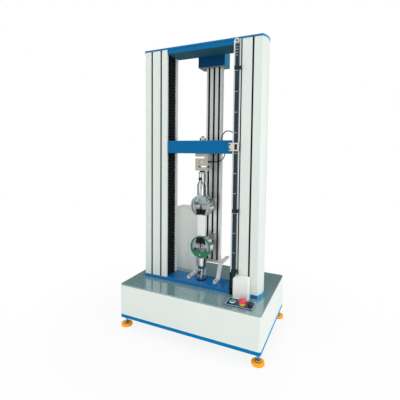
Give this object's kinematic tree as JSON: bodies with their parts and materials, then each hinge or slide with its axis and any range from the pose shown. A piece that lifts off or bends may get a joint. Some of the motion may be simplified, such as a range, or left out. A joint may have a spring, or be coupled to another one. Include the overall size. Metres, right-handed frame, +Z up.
{
  "type": "universal testing machine",
  "caption": "Dual-column screw-driven testing machine: cabinet base on levelling feet, bellows-covered columns, moving crosshead with load cell and wedge grips, profile extensometer column.",
  "frame": {"origin": "on the floor under the middle of the cabinet", "axes": "+X to the right seen from the front, -Y towards the operator, +Z up"},
  "size_m": [0.803, 0.524, 1.521],
  "materials": {
    "white_paint": "satin powder coat",
    "blue_paint": "gloss powder coat",
    "worktop_grey": "fine textured gloss",
    "orange_pad": "moulded",
    "chrome_parts": "polished",
    "green_enamel": "gloss enamel",
    "machined_steel": "ground",
    "chassis_steel": "dull black",
    "black_rubber": "matt",
    "bellows_cloth": "coated cloth",
    "cell_nickel": "satin nickel",
    "cable_black": "satin sheath",
    "black_plastic": "moulded",
    "hard_steel": "blackened",
    "rail_navy": "satin",
    "bare_aluminium": "natural anodised",
    "bracket_beige": "satin",
    "panel_navy": "satin",
    "start_green": "gloss",
    "stop_red": "gloss"
  },
  "bodies": {
    "frame": {"base_cabinet": "white_paint", "rear_panel": "white_paint", "left_column": "white_paint", "right_column": "white_paint", "limit_switch_cover": "white_paint", "controller_box": "white_paint", "extensometer_stand": "white_paint", "base_tray": "blue_paint", "base_plate": "blue_paint", "top_plate": "blue_paint", "top_beam": "blue_paint", "extensometer_head": "blue_paint", "worktop": "worktop_grey", "foot_pads": "orange_pad", "foot_studs": "chrome_parts", "lower_stem": "chrome_parts", "lower_grip_body": "chrome_parts", "button_bezels": "chrome_parts", "lower_front_cover": "green_enamel", "guide_rods": "machined_steel", "screw_bearings": "machined_steel", "chassis_frame": "chassis_steel", "servo_motor": "chassis_steel", "groove_strips": "black_rubber", "drive_belt": "black_rubber", "lower_bellows": "bellows_cloth", "upper_bellows": "bellows_cloth", "lower_pin": "black_plastic", "limit_rail": "rail_navy", "rail_backing": "bare_aluminium", "extensometer_column": "bare_aluminium", "panel_plate": "panel_navy"},
    "crosshead": {"crosshead": "blue_paint", "nuts_and_bushes": "machined_steel", "load_cell": "cell_nickel", "load_cell_fasteners": "chrome_parts", "load_cell_cable": "cable_black", "cable_glands": "black_plastic", "upper_socket": "chrome_parts", "upper_pin": "black_plastic", "upper_grip_body": "chrome_parts", "upper_front_cover": "chrome_parts", "trip_bracket": "bracket_beige"},
    "left_screw": {"left_ball_screw": "machined_steel"},
    "right_screw": {"right_ball_screw": "machined_steel"},
    "motor_drive": {"motor_pulley": "machined_steel"},
    "upper_wheel": {"upper_hand_wheel": "black_plastic"},
    "upper_left_jaw": {"upper_jaw_left": "hard_steel"},
    "upper_right_jaw": {"upper_jaw_right": "hard_steel"},
    "lower_wheel": {"lower_hand_wheel": "black_plastic"},
    "lower_left_jaw": {"lower_jaw_left": "hard_steel"},
    "lower_right_jaw": {"lower_jaw_right": "hard_steel"},
    "upper_collar": {"stop_collar_upper": "black_plastic"},
    "middle_collar": {"stop_collar_middle": "black_plastic"},
    "lower_collar": {"stop_collar_lower": "black_plastic"},
    "upper_carriage": {"carriage_upper": "bare_aluminium"},
    "lower_carriage": {"carriage_lower": "bare_aluminium"},
    "start_button": {"start_button": "start_green"},
    "estop": {"estop_head": "stop_red"},
    "selector": {"selector_knob": "black_plastic"}
  },
  "joints": [
    {"name": "crosshead_slide", "type": "slide", "parent": "frame", "child": "crosshead", "axis": [0, 0, 1], "range_m": [-0.095, 0.3], "deforming": ["lower_bellows", "upper_bellows"]},
    {"name": "left_screw_turn", "type": "hinge", "parent": "frame", "child": "left_screw", "pos_m": [-0.232, -0.05, 0.092], "axis": [0, 0, 1], "continuous": true},
    {"name": "right_screw_turn", "type": "hinge", "parent": "frame", "child": "right_screw", "pos_m": [0.232, -0.05, 0.092], "axis": [0, 0, 1], "continuous": true},
    {"name": "motor_turn", "type": "hinge", "parent": "frame", "child": "motor_drive", "pos_m": [0, 0.11, 0.092], "axis": [0, 0, 1], "continuous": true},
    {"name": "upper_wheel_turn", "type": "hinge", "parent": "crosshead", "child": "upper_wheel", "pos_m": [0, -0.005, 0.6735], "axis": [0, 1, 0], "range_deg": [-180, 180]},
    {"name": "upper_left_jaw_slide", "type": "slide", "parent": "crosshead", "child": "upper_left_jaw", "axis": [0.2588, 0, -0.9659], "range_m": [-0.0121, 0.0121]},
    {"name": "upper_right_jaw_slide", "type": "slide", "parent": "crosshead", "child": "upper_right_jaw", "axis": [-0.2588, 0, -0.9659], "range_m": [-0.0121, 0.0121]},
    {"name": "lower_wheel_turn", "type": "hinge", "parent": "frame", "child": "lower_wheel", "pos_m": [0, -0.005, 0.448], "axis": [0, 1, 0], "range_deg": [-180, 180]},
    {"name": "lower_left_jaw_slide", "type": "slide", "parent": "frame", "child": "lower_left_jaw", "axis": [0.2588, 0, 0.9659], "range_m": [-0.0121, 0.0121]},
    {"name": "lower_right_jaw_slide", "type": "slide", "parent": "frame", "child": "lower_right_jaw", "axis": [-0.2588, 0, 0.9659], "range_m": [-0.0121, 0.0121]},
    {"name": "upper_collar_slide", "type": "slide", "parent": "frame", "child": "upper_collar", "axis": [0, 0, 1], "range_m": [-0.044, 0.09]},
    {"name": "middle_collar_slide", "type": "slide", "parent": "frame", "child": "middle_collar", "axis": [0, 0, 1], "range_m": [-0.15, 0.15]},
    {"name": "lower_collar_slide", "type": "slide", "parent": "frame", "child": "lower_collar", "axis": [0, 0, 1], "range_m": [0, 0.1]},
    {"name": "upper_carriage_slide", "type": "slide", "parent": "frame", "child": "upper_carriage", "axis": [0, 0, 1], "range_m": [-0.04, 0.5]},
    {"name": "lower_carriage_slide", "type": "slide", "parent": "frame", "child": "lower_carriage", "axis": [0, 0, 1], "range_m": [-0.1, 0.1]},
    {"name": "start_press", "type": "slide", "parent": "frame", "child": "start_button", "axis": [0, 0, 1], "range_m": [-0.003, 0], "stiffness_N_per_m": 300},
    {"name": "estop_press", "type": "slide", "parent": "frame", "child": "estop", "axis": [0, 0, 1], "range_m": [-0.006, 0]},
    {"name": "selector_turn", "type": "hinge", "parent": "frame", "child": "selector", "pos_m": [0.321, -0.193, 0.25], "axis": [0, 0, 1], "range_deg": [0, 90]}
  ],
  "couplings": [
    {"joint": "left_screw_turn", "follows": "crosshead_slide", "rad_per_m": 628.32},
    {"joint": "right_screw_turn", "follows": "crosshead_slide", "rad_per_m": 628.32},
    {"joint": "motor_turn", "follows": "crosshead_slide", "rad_per_m": 628.32},
    {"joint": "upper_left_jaw_slide", "follows": "upper_wheel_turn", "m_per_rad": 0.0038197},
    {"joint": "upper_right_jaw_slide", "follows": "upper_wheel_turn", "m_per_rad": 0.0038197},
    {"joint": "lower_left_jaw_slide", "follows": "lower_wheel_turn", "m_per_rad": 0.0038197},
    {"joint": "lower_right_jaw_slide", "follows": "lower_wheel_turn", "m_per_rad": 0.0038197}
  ]
}
